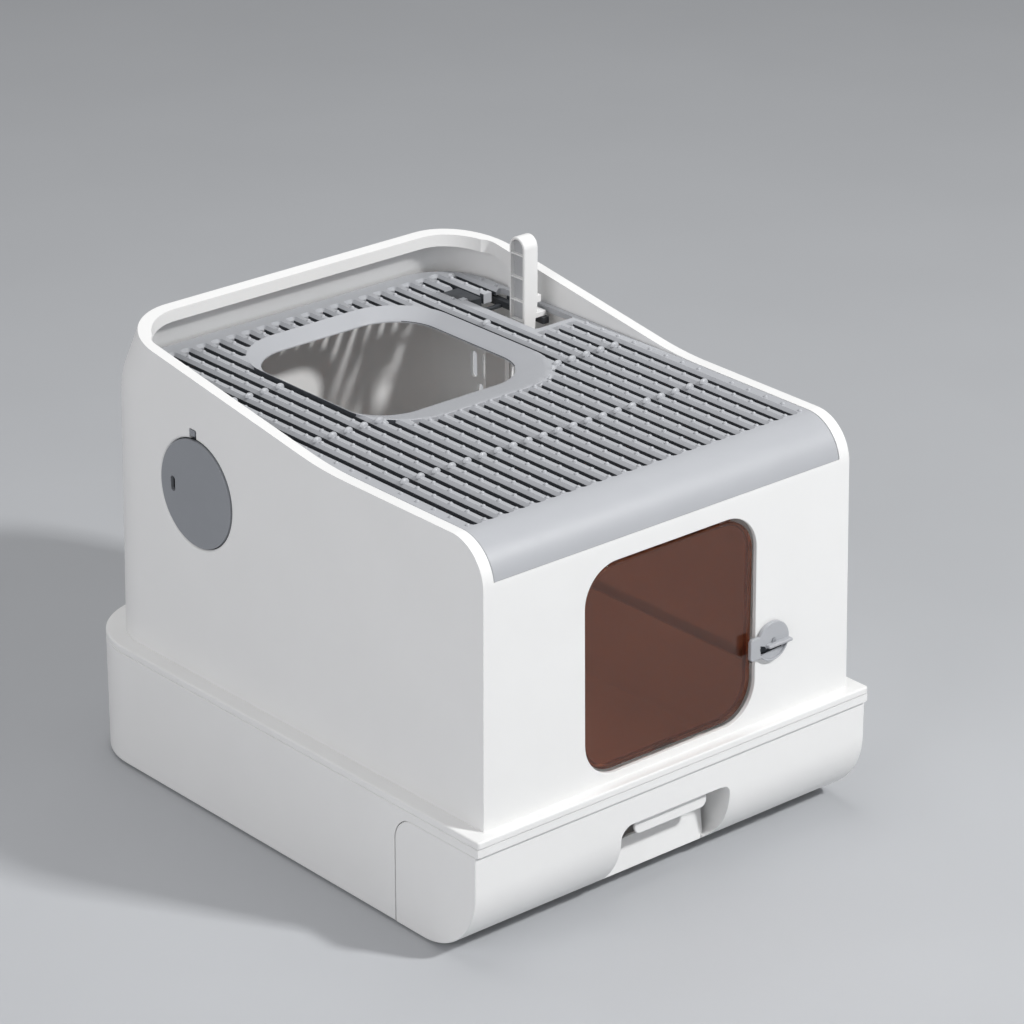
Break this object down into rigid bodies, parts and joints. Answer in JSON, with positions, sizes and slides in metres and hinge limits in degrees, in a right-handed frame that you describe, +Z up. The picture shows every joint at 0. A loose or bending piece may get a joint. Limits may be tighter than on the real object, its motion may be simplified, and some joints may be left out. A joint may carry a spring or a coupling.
{
  "type": "drawer litter box",
  "caption": "Enclosed litter box with a pull-out tray drawer, slotted top lid with round-cornered entry, see-through front flap, turn lock, odour cover and scoop.",
  "frame": {"origin": "on the floor below the middle of the base, at the bottom centre of the whole object's box", "axes": "+X to the right along the front as one faces it, +Y to the rear (the front faces -Y, the drawer pulls out along -Y), +Z up"},
  "size_m": [0.41, 0.518, 0.4069],
  "materials": {
    "white_plastic": "fine satin moulded",
    "grey_plastic": "fine satin moulded",
    "dark_plastic": "satin moulded",
    "amber_plastic": "polished, see-through",
    "steel": "zinc plated",
    "foot_rubber": "matt",
    "charcoal_cloth": "non-woven"
  },
  "bodies": {
    "base": {"base_frame": "white_plastic", "left_runner": "grey_plastic", "right_runner": "grey_plastic", "drawer_stops": "grey_plastic", "rubber_feet": "foot_rubber"},
    "drawer": {"drawer_front": "white_plastic", "litter_tray": "white_plastic", "tray_screws": "steel"},
    "hood": {"hood": "white_plastic", "lid_pins": "steel", "door_rod": "steel", "door_magnet": "dark_plastic", "odour_cup": "dark_plastic", "charcoal_pack": "charcoal_cloth"},
    "lid": {"top_lid": "grey_plastic", "scoop_holder": "dark_plastic", "holder_screws": "steel"},
    "scoop": {"litter_scoop": "white_plastic"},
    "door": {"front_door": "amber_plastic", "door_striker": "steel"},
    "lock": {"lock_knob": "grey_plastic", "lock_washer": "steel", "lock_screw": "steel"},
    "odour_cap": {"odour_cover": "grey_plastic", "cover_seal": "foot_rubber"}
  },
  "joints": [
    {"name": "drawer_slide", "type": "slide", "parent": "base", "child": "drawer", "axis": [0, -1, 0], "range_m": [0, 0.32]},
    {"name": "hood_lift", "type": "slide", "parent": "base", "child": "hood", "axis": [0, 0, 1], "range_m": [0, 0.15]},
    {"name": "lid_hinge", "type": "hinge", "parent": "hood", "child": "lid", "pos_m": [0, 0.18, 0.33], "axis": [-1, 0, 0], "range_deg": [0, 55]},
    {"name": "scoop_lift", "type": "slide", "parent": "lid", "child": "scoop", "axis": [0, 0, 1], "range_m": [0, 0.16]},
    {"name": "door_hinge", "type": "hinge", "parent": "hood", "child": "door", "pos_m": [0, -0.2345, 0.2991], "axis": [1, 0, 0], "range_deg": [0, 75]},
    {"name": "lock_turn", "type": "hinge", "parent": "hood", "child": "lock", "pos_m": [0.1046, -0.2471, 0.1784], "axis": [0, 1, 0], "range_deg": [0, 90]},
    {"name": "odour_twist", "type": "hinge", "parent": "hood", "child": "odour_cap", "pos_m": [-0.1883, 0.105, 0.2681], "axis": [-1, 0, 0], "range_deg": [0, 35]}
  ]
}
